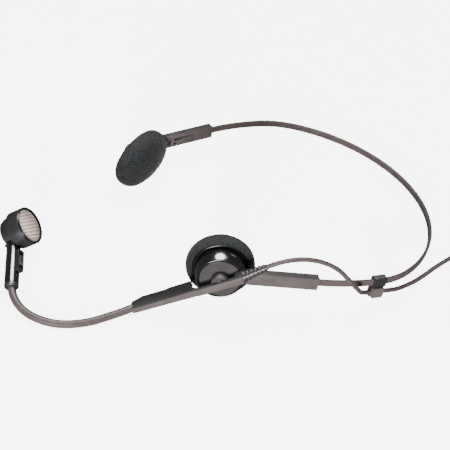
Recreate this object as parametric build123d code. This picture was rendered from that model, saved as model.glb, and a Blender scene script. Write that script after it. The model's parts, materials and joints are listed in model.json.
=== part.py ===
"""Headset microphone: behind-the-head band, two foam pads, pivoting boom and coiled lead.

Millimetres, +Z up.  The headset lies as it rests on a table, on the right pad, the back of the
band and the boom.  The origin is on the table, under the middle of the headset without its lead.
"""
import os
from math import asin, cos, pi, radians, sin, tan

from build123d import *

os.makedirs("parts", exist_ok=True)

# ---------------------------------------------------------------- driving dimensions
# Head frame: +X the wearer's left, -Y forward, +Z up, origin midway between the pads.
HEAD = Pos(-1.14, -23.48, 22.52) * Rot(-7.01, -3.66, 0)
FIT = 0.05                                # running clearance of pins and balls, on the radius

# band: three tangent arcs a side, from each arm round to the nape
BAND_Y = 51.7                             # where the band leaves the arms
BAND_TOE = 15.12                          # degrees that the arms open outwards
BAND_R = (148.0, 54.95, 87.83)
BAND_TURN = (15.26, 25.66)                # degrees turned by the first two arcs
BAND_Z = 1.2
SLEEVE_T, SLEEVE_H = 1.9, 4.4
SPRING_T, SPRING_H = 0.8, 3.0

# arms
ARM_T, ARM_H, ARM_WALL = 5.6, 8.0, 1.1
LEFT_ARM_L, RIGHT_ARM_L = 45.5, 38.5
LEFT_SCREWS, RIGHT_SCREWS = (15.0, 30.0), (13.6,)

# pads
PAD_R, PAD_BACK = 20.0, 4.0
PAD_PLATE_R = 14.0
LEFT_PAD_X, LEFT_TOE = 54.6, 24.2
RIGHT_PAD, RIGHT_TOE, RIGHT_TILT = (-54.6, -7.4, 0), 26.7, 7.1
BALL_R = 2.3
BALL_BACK = 7.8                           # ball centre behind the middle of the right pad

# cup, along its own axis: 0 is the middle of the left foam pad, outwards is positive
CUP_R, CUP_BASE, CUP_FACE = 15.0, 2.4, 13.0
BEZEL_R = 15.9
FACE_R = 12.2
SHAFT_R = 2.5
SCREW_ANGLES = (30, 150, 270)

# stem, along its own axis: 0 is the pivot, the front is negative
STEM_OUT = 17.0                           # stem's middle plane above the middle of the pad
STEM_RAKE = 32.3                          # degrees below the horizontal, forward
STEM_FRONT, STEM_REAR = -53.6, 14.0
STEM_T = 7.6
STEM_BACK = 2.6                           # how much deeper the stem is in front of the cup
STEM_H_FRONT, STEM_H_REAR = 3.4, 4.7
RELIEF_L, RELIEF_R = 14.7, 3.4
RELIEF_LIFT = 7.5                         # degrees that the strain relief turns up

# boom: a gooseneck in four arcs, each from a bend over its middle to the next bend
BOOM_R, BOOM_CORE_R, BOOM_GAP = 2.35, 1.25, 0.6
BOOM_POINTS = [
    (52.1, -74.5, 3.35), (53.3, -83.3, 2.7), (54.5, -93.0, 2.5), (55.2, -102.8, 2.5),
    (53.5, -114.7, 2.5), (48.4, -125.1, 2.6), (39.4, -133.5, 3.0), (30.3, -136.8, 4.1),
    (19.5, -136.3, 6.2),
]

# microphone: barrel from its foot to the middle of the head's rear collar
FOOT = Vector(19.5, -136.3, 6.2)
NECK = Vector(-15.3, -124.7, 14.0)
AIM = Vector(0.42, 0.66, 0.62)            # the way the grille faces
BARREL_R_FOOT, BARREL_R_TOP = 4.25, 4.0
HEAD_R, HEAD_REAR, HEAD_FRONT = 11.35, 2.3, 11.7
COLLAR_R, COLLAR_REAR = 9.2, -4.2

# lead
CORD_R = 1.4
CLIP = (84.45, 91.0)
CLIP_DROP = 7.8                           # cord centre below the band centre
COIL_AT, COIL_COLUMNS, COIL_ROWS, COIL_INNER = (66.0, 165.5), 4, 3, 9.9
COIL_FLOOR = 0.9
PLUG_AT = (93.8, 5.2)                     # x and z of the plug's axis
PLUG_Y = (168.5, 156.5, 141.5, 134.0, 120.0)   # boot, shell, lock ring, pin, tip

LOOP_ROUTE = [
    (79.8, 5.0, 47.4), (81.5, 15.2, 47.4), (84.0, 26.0, 44.6), (87.2, 34.8, 39.6),
    (89.4, 40.6, 33.0), (89.9, 46.8, 25.6), (88.1, 52.2, 18.7),
]
LEAD_ROUTE = [
    (80.6, 84.5, 5.0), (77.4, 93.2, 2.7), (74.6, 101.6, 1.6), (71.2, 110.2, 1.5),
    (67.4, 118.6, 1.5), (63.8, 128.2, 1.5), (61.4, 135.6, 1.5), (56.0, 143.2, 1.5),
    (52.4, 150.6, 1.5), (50.9, 158.6, 1.7),
]
TAIL_ROUTE = [
    (60.0, 179.5, 4.4), (70.8, 183.3, 4.5), (81.6, 184.9, 4.8), (90.4, 181.1, 5.1),
    (93.8, 173.1, 5.2), (93.8, PLUG_Y[0], 5.2),
]

PARTS = {}


def keep(name, shape):
    PARTS[name] = shape


# ---------------------------------------------------------------- frames
def band_start():
    """Half width of the band where it leaves the arms, so that both halves meet at the nape."""
    turns = (*BAND_TURN, 90 + BAND_TOE - sum(BAND_TURN))
    angle, x = -BAND_TOE, -BAND_R[0] * cos(radians(BAND_TOE))
    for i in (0, 1):
        angle += turns[i]
        x += (BAND_R[i] - BAND_R[i + 1]) * cos(radians(angle))
    return -x, turns


BAND_X, TURNS = band_start()


def toe(angle):
    return Vector(cos(radians(angle)), -sin(radians(angle)), 0)


def arm_frame(side):
    """x runs forward along the arm, y across it (outwards on the left arm), z up."""
    forward = (-side * sin(radians(BAND_TOE)), -cos(radians(BAND_TOE)), 0)
    plane = Plane(origin=(side * BAND_X, BAND_Y, BAND_Z), x_dir=forward, z_dir=(0, 0, 1))
    return HEAD * plane.location


LEFT_ARM, RIGHT_ARM = arm_frame(1), arm_frame(-1)
CUP = HEAD * Plane(
    origin=(LEFT_PAD_X, 0, 0),
    x_dir=(sin(radians(LEFT_TOE)), cos(radians(LEFT_TOE)), 0),
    z_dir=toe(LEFT_TOE),
).location
STEM = CUP * Pos(0, 0, STEM_OUT) * Rot(0, 0, STEM_RAKE)
RELIEF = STEM * Pos(STEM_REAR, 0, 0) * Rot(0, 0, RELIEF_LIFT) * Rot(0, 90, 0)
RIGHT_PAD_FRAME = HEAD * Plane(
    origin=RIGHT_PAD,
    x_dir=(-sin(radians(RIGHT_TOE)), cos(radians(RIGHT_TOE)), 0),
    z_dir=(
        cos(radians(RIGHT_TOE)) * cos(radians(RIGHT_TILT)),
        sin(radians(RIGHT_TOE)) * cos(radians(RIGHT_TILT)),
        -sin(radians(RIGHT_TILT)),
    ),
).location
BARREL_L = (NECK - FOOT).length
MIC = Plane(origin=NECK, x_dir=AIM, z_dir=NECK - FOOT).location
CAPSULE = MIC * Rot(0, 90, 0)             # z along the way the grille faces
CLIP_FRAME = HEAD * Pos(CLIP[0], CLIP[1], BAND_Z)


# ---------------------------------------------------------------- shape helpers
def tube(r_out, r_in, z0, z1):
    body = cylinder(r_out, z0, z1)
    return body - cylinder(r_in, z0 - 1, z1 + 1)


def cylinder(r, z0, z1):
    return Pos(0, 0, (z0 + z1) / 2) * Cylinder(r, abs(z1 - z0))


def block(x0, x1, y0, y1, z0, z1, edge=0.0, axis=None):
    shape = Pos((x0 + x1) / 2, (y0 + y1) / 2, (z0 + z1) / 2) * Box(x1 - x0, y1 - y0, z1 - z0)
    if edge:
        edges = shape.edges().filter_by(axis) if axis else shape.edges()
        shape = fillet(edges, edge)
    return shape


def turned(points):
    """Solid of revolution about Z from (radius, height) corners."""
    face = make_face(Polyline([(r, 0, z) for r, z in points], close=True))
    return revolve(face, Axis.Z)


def screw(head_r, head_t, shank_r, length):
    """Cross-head screw: the head's top is at z = 0 and the shank points down."""
    body = cylinder(head_r, -head_t, 0) + cylinder(shank_r, -length, -head_t)
    cross = block(-head_r * 0.6, head_r * 0.6, -0.15, 0.15, -head_t * 0.6, 1)
    return body - cross - Rot(0, 0, 90) * cross


def rod(points, r, r_in=0.0):
    """Tube along one arc through three points."""
    arc = ThreePointArc(*points)
    face = Plane(origin=arc @ 0, z_dir=arc % 0) * Circle(r)
    shape = sweep(face, path=arc)
    if r_in:
        shape -= rod(points, r_in)
    return shape


# ---------------------------------------------------------------- band
def band_solid(thick, height, tail):
    """Flat strip bent round the head, its ends running straight for `tail` into the arms."""
    sides = []
    for offset in (thick / 2, -thick / 2):
        angle = -BAND_TOE
        start = Vector(BAND_X, BAND_Y) + offset * toe(BAND_TOE)
        end = start - tail * Vector(sin(radians(BAND_TOE)), cos(radians(BAND_TOE)))
        half = [Line(end, start)]
        centre = Vector(BAND_X, BAND_Y) - BAND_R[0] * toe(BAND_TOE)
        for i, (radius, turn) in enumerate(zip(BAND_R, TURNS)):
            half.append(CenterArc(centre, radius + offset, angle, turn))
            angle += turn
            if i < 2:
                step = BAND_R[i] - BAND_R[i + 1]
                centre += step * Vector(cos(radians(angle)), sin(radians(angle)))
        sides.append(half)
    outer, inner = sides
    left = outer + inner + [Line(outer[0] @ 0, inner[0] @ 0)]
    right = [mirror(edge, about=Plane.YZ).edge() for edge in left]
    face = Face(Wire(left + right))
    return HEAD * Pos(0, 0, BAND_Z) * extrude(face, amount=height / 2, both=True)


def make_band():
    spring = band_solid(SPRING_T, SPRING_H, 18)
    hollow = band_solid(SPRING_T + 0.1, SPRING_H + 0.1, 18)
    keep("band_spring", spring)
    keep("band_sleeve", band_solid(SLEEVE_T, SLEEVE_H, 3) - hollow)


# ---------------------------------------------------------------- arms
def arm_casing(length):
    outside = block(0, length, -ARM_T / 2, ARM_T / 2, -ARM_H / 2, ARM_H / 2, 0.6, Axis.X)
    t, h = ARM_T / 2 - ARM_WALL, ARM_H / 2 - ARM_WALL
    inside = block(ARM_WALL, length - ARM_WALL, -t, t, -h, h)
    mouth = block(-1, 4, -1.05, 1.05, -2.3, 2.3)
    return outside - inside - mouth


def arm_halves(casing):
    far = block(-5, 80, -10, 0, -10, 10)
    return casing - far, casing & far


def band_clamp():
    """Steel clamp that grips the band's end inside an arm."""
    clamp = block(5.2, 11.2, -1.4, 1.4, -2.7, 2.7, 0.3, Axis.X)
    return clamp - block(5, 12, -0.45, 0.45, -1.55, 1.55)


def arm_screw(x):
    return Pos(x, -ARM_T / 2 + 0.1, 0) * Rot(90, 0, 0) * screw(1.15, 0.7, 0.5, 1.7)


def screw_holes(places):
    holes = [cylinder(0.52, 0.4, 4) + cylinder(1.2, ARM_T / 2 - 0.85, 4) for _ in places]
    return [Pos(x, 0, 0) * Rot(90, 0, 0) * hole for x, hole in zip(places, holes)]


def make_arm_fittings():
    keep("band_clamps", Compound(children=[LEFT_ARM * band_clamp(), RIGHT_ARM * band_clamp()]))
    screws = [LEFT_ARM * arm_screw(x) for x in LEFT_SCREWS]
    screws += [RIGHT_ARM * arm_screw(x) for x in RIGHT_SCREWS]
    keep("arm_screws", Compound(children=screws))


def make_left_arm():
    casing = arm_casing(LEFT_ARM_L)
    cup_room = CUP * cylinder(CUP_R + 0.3, -1, 14)
    casing = LEFT_ARM * casing - cup_room
    front, back = arm_halves(LEFT_ARM.inverse() * casing)
    keep("left_arm_outer", LEFT_ARM * front)
    keep("left_arm_inner", LEFT_ARM * (back - screw_holes(LEFT_SCREWS)))


def make_right_arm():
    casing = arm_casing(RIGHT_ARM_L)
    slot = block(RIGHT_ARM_L - 2, RIGHT_ARM_L + 1, -1.5, -0.2, -2.7, 2.7)
    casing -= slot
    inward, outward = arm_halves(casing)
    windows = block(29.6, 32.7, 1.3, 4, 0.9, 2.2) + block(29.6, 32.7, 1.3, 4, -2.2, -0.9)
    notch = block(34.8, 36.9, 1.5, 4, -1.9, 1.9)
    rim = block(15.6, 33.6, 2.5, 4, -3.0, 3.0) - block(16.1, 33.1, 2, 5, -2.5, 2.5)
    keep("right_arm_inner", RIGHT_ARM * (inward - windows - notch - rim))
    keep("right_arm_outer", RIGHT_ARM * (outward - screw_holes(RIGHT_SCREWS)))
    spring = block(24.6, 35.4, 0.75, 1.05, -1.6, 1.6)
    spring += block(28.8, 31.2, 0.1, 0.75, -1.2, 1.2)
    keep("slide_friction_spring", RIGHT_ARM * spring)


# ---------------------------------------------------------------- right slide and pad
def pad_ball():
    """Ball centre of the right pad, in the arm's frame."""
    centre = (RIGHT_PAD_FRAME * Pos(0, 0, -BALL_BACK)).position
    return (RIGHT_ARM.inverse() * Pos(*centre)).position


def make_right_slide():
    ball = pad_ball()
    tongue = block(22.0, ball.X, -1.4, -0.3, -2.5, 2.5)
    tongue += Pos(ball.X, 0, ball.Z) * Rot(90, 0, 0) * cylinder(4.0, 1.9, -2.1)
    tongue = tongue - Pos(ball.X, ball.Y, ball.Z) * Sphere(BALL_R + FIT)
    mouth = Pos(ball.X, ball.Y, ball.Z) * Rot(-90, 0, 0) * Pos(0, 0, 1.4) * Cone(1.7, 3.3, 2.0)
    keep("right_slide", RIGHT_ARM * (tongue - mouth))


def crown(radius, edge_z, top_z):
    """Arc from a rim up to the axis, centred on the axis."""
    sphere_r = (radius ** 2 + (top_z - edge_z) ** 2) / (2 * (top_z - edge_z))
    half = asin(radius / sphere_r) / 2
    middle = (sphere_r * sin(half), top_z - sphere_r * (1 - cos(half)))
    return ThreePointArc((radius, edge_z), middle, (0, top_z))


def pad_foam(cavity_r, cavity_floor):
    """Domed foam cushion. z points towards the head, and 0 is its widest plane."""
    edge = [
        Line((0, -PAD_BACK), (PAD_R * 0.93, -PAD_BACK)),
        ThreePointArc((PAD_R * 0.93, -PAD_BACK), (PAD_R * 0.99, -1.4), (PAD_R, 0.6)),
        ThreePointArc((PAD_R, 0.6), (PAD_R * 0.87, 5.6), (PAD_R * 0.6, 7.9)),
        crown(PAD_R * 0.6, 7.9, 9.4),
        Line((0, 9.4), (0, -PAD_BACK)),
    ]
    face = Plane.XZ * Face(Wire(edge))
    foam = revolve(face, Axis.Z)
    if cavity_r:
        foam -= cylinder(cavity_r, -PAD_BACK - 1, cavity_floor)
    return foam


def make_right_pad():
    keep("right_pad_foam", RIGHT_PAD_FRAME * pad_foam(0, 0))
    plate = cylinder(PAD_PLATE_R, -PAD_BACK - 1.2, -PAD_BACK)
    plate += cylinder(1.3, -BALL_BACK, -PAD_BACK)
    plate += Pos(0, 0, -BALL_BACK) * Sphere(BALL_R)
    keep("right_pad_plate", RIGHT_PAD_FRAME * plate)


# ---------------------------------------------------------------- left pad and cup
LEFT_BALL = 1.7                           # ball centre along the cup axis


def make_left_pad():
    flip = CUP * Rot(180, 0, 0)
    keep("left_pad_foam", flip * pad_foam(BEZEL_R + 0.5, 1.6))
    plate = cylinder(PAD_PLATE_R, 0.4, 1.6)
    plate += cylinder(1.3, -LEFT_BALL, 0.5)
    plate += Pos(0, 0, -LEFT_BALL) * Sphere(BALL_R)
    keep("left_pad_plate", flip * plate)


def make_cup():
    outer = Face(Wire([
        Line((0, CUP_BASE), (CUP_R, CUP_BASE)),
        ThreePointArc((CUP_R, CUP_BASE), (14.9, 7.4), (13.6, 11.7)),
        ThreePointArc((13.6, 11.7), (13.25, 12.6), (12.4, 12.95)),
        Line((12.4, 12.95), (0, 12.95)),
        Line((0, 12.95), (0, CUP_BASE)),
    ]))
    shell = revolve(Plane.XZ * outer, Axis.Z)
    shell -= cylinder(CUP_R - 1.6, CUP_BASE - 1, 10.6)
    shell -= cylinder(FACE_R + 0.05, 10, 14)
    for angle in SCREW_ANGLES:
        shell += Rot(0, 0, angle) * Pos(11.2, 0, 0) * tube(1.9, 0.75, CUP_BASE + 0.02, 10.8)
    lug = CUP.inverse() * LEFT_ARM * block(33.0, 46.5, -1.5, 1.5, -2.6, 2.6)
    shell += lug - cylinder(CUP_R - 0.5, -5, 20)
    keep("cup_shell", CUP * shell)
    face = turned([
        (SHAFT_R + FIT, 11.0), (12.0, 11.0), (FACE_R, 11.2), (FACE_R, 12.8), (11.9, CUP_FACE),
        (SHAFT_R + FIT, CUP_FACE),
    ])
    keep("cup_face", CUP * face)
    keep("cup_bezel", CUP * turned([(15.05, 0.8), (15.5, 0.7), (BEZEL_R, 1.3), (BEZEL_R, 2.1),
                                    (15.6, 2.6), (15.2, 2.6), (15.05, 2.4)]))
    base = cylinder(CUP_R, 0.9, CUP_BASE) + cylinder(4.6, CUP_BASE, 4.6)
    base -= Pos(0, 0, LEFT_BALL) * Sphere(BALL_R + FIT)
    base -= Pos(0, 0, 0.1) * Cone(3.2, 1.9, 1.8)
    for angle in SCREW_ANGLES:
        base -= Rot(0, 0, angle) * Pos(11.2, 0, 0) * cylinder(0.75, 0, 5)
        base -= Rot(0, 0, angle) * Pos(11.2, 0, 0) * cylinder(1.45, 0, 1.6)
    keep("cup_base", CUP * base)
    screws = [Rot(0, 0, a) * Pos(11.2, 0, 1.0) * Rot(180, 0, 0) * screw(1.4, 0.6, 0.7, 4.2)
              for a in SCREW_ANGLES]
    keep("cup_screws", CUP * Compound(children=screws))


def make_pivot():
    shaft = cylinder(SHAFT_R, 8.2, STEM_OUT + 1.5) - tube(4, 2.0, 9.0, 9.7)
    keep("pivot_shaft", CUP * shaft)
    keep("pivot_clip", CUP * (tube(3.6, 2.0 + 0.01, 9.02, 9.68) - block(0, 5, -1.1, 1.1, 8, 11)))
    keep("pivot_wave_washer", CUP * tube(4.4, SHAFT_R + 0.1, 9.9, 10.6))
    keep("pivot_hub", CUP * tube(5.2, SHAFT_R + 0.01, CUP_FACE + 0.15, STEM_OUT + 0.95))


# ---------------------------------------------------------------- stem
def stem_section(front_h, rear_h):
    """Plan outline of the stem, wider at the rear, as a tall prism along the pivot."""
    outline = Polyline(
        (STEM_FRONT, -front_h / 2), (STEM_REAR, -rear_h / 2), (STEM_REAR, rear_h / 2),
        (STEM_FRONT, front_h / 2), close=True,
    )
    return extrude(make_face(outline), amount=12, both=True)


def stem_profile(points, width=8):
    """Side outline of a stem piece, extruded across the stem."""
    face = make_face(Polyline([(x, 0, z) for x, z in points], close=True))
    return extrude(face, amount=width, both=True)


def make_stem():
    top = STEM_T / 2
    back = top + STEM_BACK
    plate_z = top - 1.2
    shell = stem_profile([
        (STEM_FRONT, -top), (-47, -back), (-17.6, -back), (-15.8, -0.6), (-13.4, 1.0), (9.2, 1.0),
        (9.8, -3.2),
        (STEM_REAR, -3.2), (STEM_REAR, plate_z), (STEM_FRONT, plate_z),
    ])
    shell &= stem_section(STEM_H_FRONT, STEM_H_REAR)
    hollow = block(-49, -19, -1.0, 1.0, -top + 1.1, plate_z + 1)
    shell -= hollow
    shell -= Rot(0, 90, 0) * cylinder(1.7, 8, 16)
    shell -= cylinder(SHAFT_R + 0.01, -2, 1.6)
    shell -= Rot(0, 90, 0) * cylinder(1.5, STEM_FRONT - 1, -48)
    keep("stem_shell", STEM * shell)
    plate = stem_profile([
        (STEM_FRONT, plate_z), (STEM_REAR, plate_z), (STEM_REAR, top - 0.5), (13.2, top),
        (-13.6, top), (-14.4, top - 0.45), (-52.9, top - 0.45), (STEM_FRONT, top - 0.9),
    ])
    keep("stem_front_plate", STEM * (plate & stem_section(STEM_H_FRONT, STEM_H_REAR)))
    leaf = stem_profile([
        (-33, -back - 0.1), (-17.2, -back - 0.1), (-17.2, -back - 1.6), (-31, -back - 1.1),
    ])
    keep("stem_back_leaf", STEM * (leaf & block(-40, 0, -1.6, 1.6, -9, 0)))
    board = block(-47.5, -24, -0.8, 0.8, -0.4, 0.4)
    keep("stem_terminal_board", STEM * board)


def make_relief():
    """Tapered strain relief moulded on the cord, cut into rings that let it bend."""
    rings = 6
    step = RELIEF_L / rings
    body = Pos(0, 0, RELIEF_L / 2) * Cone(RELIEF_R - 0.6, CORD_R + 0.2, RELIEF_L)
    body += cylinder(RELIEF_R - 0.6, -1, 0)
    for i in range(rings):
        r = RELIEF_R - i * (RELIEF_R - CORD_R - 0.9) / (rings - 1)
        body += Pos(0, 0, (i + 0.31) * step) * Cone(r, r - 0.15, step * 0.62)
    keep("strain_relief", RELIEF * body - STEM * block(-20, STEM_REAR, -9, 9, -9, 9))


# ---------------------------------------------------------------- boom
def trimmed(points, gap_start, gap_end):
    """The same arc, shorter by a gap at one or both ends."""
    arc = ThreePointArc(*points)
    t0, t1 = gap_start / arc.length, 1 - gap_end / arc.length
    return [arc @ t0, arc @ ((t0 + t1) / 2), arc @ t1]


def make_boom():
    links = len(BOOM_POINTS) // 2
    stem = STEM * block(STEM_FRONT, 20, -10, 10, -10, 10)
    for i in range(links):
        points = BOOM_POINTS[2 * i:2 * i + 3]
        start = 0 if i == 0 else BOOM_GAP
        end = 0.3 if i == links - 1 else BOOM_GAP
        points = trimmed(points, start, end)
        keep(f"boom_sleeve_{i + 1}", rod(points, BOOM_R, BOOM_CORE_R + 0.05) - stem)
        keep(f"boom_core_{i + 1}", rod(points, BOOM_CORE_R) - stem)


# ---------------------------------------------------------------- microphone
def barrel_cone(extra=0.0):
    foot, top = -BARREL_L, -COLLAR_R + 1.6
    length = top - foot
    return Pos(0, 0, foot + length / 2) * Cone(BARREL_R_FOOT + extra, BARREL_R_TOP + extra, length)


def make_barrel():
    foot, top = -BARREL_L, -COLLAR_R + 1.6
    shell = barrel_cone() - cylinder(BARREL_R_TOP - 1.0, foot + 1.4, top + 1)
    shell -= cylinder(BOOM_R + 0.05, foot - 1, foot + 2)
    shell -= MIC.inverse() * CAPSULE * cylinder(COLLAR_R + 0.02, COLLAR_REAR - 5, HEAD_FRONT)
    shell -= MIC.inverse() * CAPSULE * cylinder(HEAD_R + 0.02, HEAD_REAR, HEAD_FRONT)
    shell -= block(2, 6, -2.0, 2.0, -28.2, -16.8)
    keep("barrel_shell", MIC * shell)
    collar = turned([(BOOM_R + 0.02, foot - 1.8), (3.5, foot - 1.8), (4.3, foot - 1.0),
                     (4.35, foot - 0.05), (BOOM_R + 0.02, foot - 0.05)])
    keep("barrel_collar", MIC * collar - rod(BOOM_POINTS[-3:], BOOM_R + 0.03))


def make_switch():
    frame = block(3.0, 6.2, -2.5, 2.5, -29.6, -15.4, 0.6, Axis.X)
    frame -= block(2.5, 7, -1.7, 1.7, -27.4, -17.6)
    frame -= barrel_cone(0.02)
    keep("switch_frame", MIC * frame)
    slider = block(4.4, 6.6, -1.5, 1.5, -25.4, -19.6)
    for i in range(5):
        slider += block(6.6, 7.2, -1.5, 1.5, -25.2 + 1.15 * i, -24.6 + 1.15 * i)
    keep("switch_slider", MIC * slider)


def dome(radius, height, thick, base):
    """Thin domed disc: a spherical cap with an even wall."""
    sphere_r = (radius ** 2 + height ** 2) / (2 * height)
    centre = base + height - sphere_r
    cap = Pos(0, 0, centre) * Sphere(sphere_r) & cylinder(radius, base, base + height + 1)
    room = cylinder(radius, base - 1, base + height + 1)
    return cap - (Pos(0, 0, centre) * Sphere(sphere_r - thick) & room)


def make_head():
    shell = tube(HEAD_R, HEAD_R - 1.1, HEAD_REAR, HEAD_FRONT - 0.6)
    shell += tube(HEAD_R, COLLAR_R - 1.6, HEAD_REAR, HEAD_REAR + 1.2)
    keep("head_shell", CAPSULE * shell)
    collar = turned([
        (COLLAR_R - 1.4, HEAD_REAR - 0.02), (COLLAR_R, HEAD_REAR - 0.02), (COLLAR_R, -2.4),
        (COLLAR_R - 0.9, -2.4), (COLLAR_R - 0.9, COLLAR_REAR), (COLLAR_R - 1.9, COLLAR_REAR),
        (COLLAR_R - 1.9, -2.4), (COLLAR_R - 1.4, -2.4),
    ])
    collar += CAPSULE.inverse() * MIC * block(-5.6, -2.6, -1.4, 1.4, -9.05, -7.5)
    keep("head_rear_collar", CAPSULE * collar)
    ring = turned([(HEAD_R - 1.0, HEAD_FRONT - 0.58), (HEAD_R, HEAD_FRONT - 0.58), (HEAD_R, HEAD_FRONT),
                   (HEAD_R - 0.35, HEAD_FRONT + 0.35), (HEAD_R - 1.3, HEAD_FRONT + 0.35),
                   (HEAD_R - 1.3, HEAD_FRONT - 0.2), (HEAD_R - 1.0, HEAD_FRONT - 0.2)])
    keep("head_front_ring", CAPSULE * ring)
    keep("front_grille", CAPSULE * dome(HEAD_R - 1.35, 3.0, 0.5, HEAD_FRONT - 0.9))
    rear = CAPSULE * Rot(180, 0, 0) * dome(COLLAR_R - 1.95, 1.6, 0.5, -COLLAR_REAR - 0.8)
    keep("rear_grille", rear)
    discs = [cylinder(HEAD_R - 1.2, 9.9, 10.7), cylinder(COLLAR_R - 2.0, -3.3, -1.6)]
    keep("head_foam_discs", CAPSULE * Compound(children=discs))
    pot = cylinder(8.6, 4.0, 8.6) - tube(6.4, 5.2, 5.4, 9)
    keep("capsule_magnet", CAPSULE * (pot + cylinder(4.0, HEAD_REAR - 2.4, 4.0)))
    diaphragm = dome(8.6, 0.8, 0.15, 8.75) + tube(6.1, 5.5, 5.8, 9.05)
    keep("capsule_diaphragm", CAPSULE * diaphragm)


# ---------------------------------------------------------------- clip
def make_clip():
    low = -CLIP_DROP - 2.6
    body = block(-2.5, 2.2, -4.2, 4.2, -3.0, 3.6, 0.9, Axis.Y)
    body += block(-2.5, 0.9, -4.2, 4.2, low, -2.6, 0.5, Axis.Y)
    body -= block(-1.2, 1.15, -5, 5, -2.3, 2.3)
    body -= Pos(0, 0, -CLIP_DROP) * Rot(90, 0, 0) * cylinder(CORD_R + 0.03, -6, 6)
    body -= block(-0.3, 4, -5, 5, -CLIP_DROP - 1.2, -CLIP_DROP + 1.2)
    keep("clip_body", CLIP_FRAME * body)
    gate = block(0.95, 3.0, -4.0, 4.0, low + 0.2, -3.05, 1.3, Axis.X)
    gate -= Pos(0, 0, -CLIP_DROP) * Rot(90, 0, 0) * cylinder(CORD_R + 0.03, -6, 6)
    keep("clip_gate", CLIP_FRAME * gate)


# ---------------------------------------------------------------- lead
def cord(name, route):
    """Round cord along straight runs joined by tangent arcs, as large as the runs allow."""
    points = [Vector(p) for p in route]
    runs = [b - a for a, b in zip(points, points[1:])]
    radii = []
    for before, after in zip(runs, runs[1:]):
        turn = before.get_angle(after)
        radii.append(0.45 * min(before.length, after.length) / tan(radians(turn / 2)))
    path = FilletPolyline(*points, radius=radii)
    section = Plane(origin=path @ 0, z_dir=path % 0) * Circle(CORD_R)
    shape = sweep(section, path=path)
    share = shape.volume / (pi * CORD_R ** 2 * path.length)
    print(f"{name}: {path.length:.1f} mm, tightest arc {min(radii):.1f} mm, volume share {share:.4f}")
    print("   radii", [round(r, 1) for r in radii])
    keep(name, shape)
    return path.length


def make_lead():
    start, lift = [(RELIEF * Pos(0, 0, RELIEF_L + z)).position for z in (0, 4.5)]
    under, middle, ahead = [(CLIP_FRAME * Pos(0, y, -CLIP_DROP)).position for y in (-9.0, 0, 9.3)]
    print("lead from the relief", start, lift, "and through the clip", under, middle, ahead)
    length = cord("cable_loop", [start, lift, *LOOP_ROUTE, under, middle])
    length += cord("cable_lead", [middle, ahead, *LEAD_ROUTE])
    length += cord("cable_tail", TAIL_ROUTE)
    width, height = COIL_COLUMNS * 2 * CORD_R, COIL_ROWS * 2 * CORD_R
    turn_r = COIL_INNER + width / 2
    turns = COIL_COLUMNS * COIL_ROWS
    print(f"coil: {turns} turns, {2 * turn_r:.1f} mm across, {turns * 2 * pi * turn_r:.0f} mm")
    print(f"whole lead {length + turns * 2 * pi * turn_r:.0f} mm")
    coil = Pos(*COIL_AT, 0) * tube(COIL_INNER + width, COIL_INNER, COIL_FLOOR, COIL_FLOOR + height)
    keep("cable_coil", coil)
    tie_frame = Pos(*COIL_AT, 0) * Rot(0, 0, -35) * Pos(turn_r, 0, COIL_FLOOR + height / 2)
    tie = Box(width + 2.0, 5, height + 1.7) - Box(width + 0.9, 6, height + 0.1)
    keep("coil_tie", tie_frame * tie)


def make_plug():
    x, z = PLUG_AT
    frame = Pos(x, PLUG_Y[0], z) * Rot(90, 0, 0)      # z runs from the boot to the tip
    boot_l, shell_l, ring_l, pin_l = (PLUG_Y[i] - PLUG_Y[i + 1] for i in range(4))
    boot = Pos(0, 0, boot_l / 2) * Cone(2.3, 3.9, boot_l)
    for i in range(4):
        boot -= Pos(0, 0, 2.2 + 2.3 * i) * (tube(6, 2.0 + 0.32 * i, -0.35, 0.35))
    keep("plug_boot", frame * (boot - cylinder(CORD_R + 0.02, -1, 6)))
    shell = turned([(0, boot_l), (4.1, boot_l), (4.8, boot_l + 0.8), (4.8, boot_l + shell_l - 0.5),
                    (4.3, boot_l + shell_l), (0, boot_l + shell_l)])
    shell += cylinder(2.6, boot_l + shell_l, boot_l + shell_l + ring_l)
    keep("plug_shell", frame * shell)
    ring0 = boot_l + shell_l + 0.15
    ring1 = boot_l + shell_l + ring_l - 0.2
    ring = tube(5.0, 2.6 + FIT, ring0, ring1)
    for i in range(24):
        groove = block(-0.35, 0.4, -0.25, 0.25, ring0 + 0.7, ring1 - 0.7)
        ring -= Rot(0, 0, 15 * i) * Pos(5.1, 0, 0) * groove
    keep("plug_lock_ring", frame * ring)
    base = boot_l + shell_l + ring_l
    keep("plug_sleeve_contact", frame * cylinder(1.75, base, base + 8.4))
    tip = turned([(0, 8.4), (1.1, 8.4), (1.1, 8.9), (1.75, 9.6), (1.75, 10.6), (1.15, 11.6),
                  (1.65, 12.6), (0.5, pin_l), (0, pin_l)])
    keep("plug_tip_contact", frame * Pos(0, 0, base) * tip)


# ---------------------------------------------------------------- assembly
make_band()
make_arm_fittings()
make_left_arm()
make_right_arm()
make_right_slide()
make_right_pad()
make_left_pad()
make_cup()
make_pivot()
make_stem()
make_relief()
make_boom()
make_barrel()
make_switch()
make_head()
make_clip()
make_lead()
make_plug()

for name, shape in PARTS.items():
    export_step(shape, f"parts/{name}.step")

LEAD_NODES = ("cable_", "coil_", "plug_")
body = Compound(children=[s for n, s in PARTS.items() if not n.startswith(LEAD_NODES)])
box = body.bounding_box()
print(len(PARTS), "nodes; headset box", box.min, box.max, "middle", box.center())
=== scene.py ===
# %% [markdown]
# # A stage headset microphone
# This lesson builds the looks of a small wired headset around a CAD model that is already exact.
# The CAD says where everything is and what moves. Here each piece gets the form, surface and
# finish that an eye expects: soft foam, a rubbery lead, polished and satin plastic, fine mesh.
# We start by loading the CAD as a fixed frame.

import json
import math

import bmesh
import bpy
from mathutils import Matrix, Vector, noise


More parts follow.
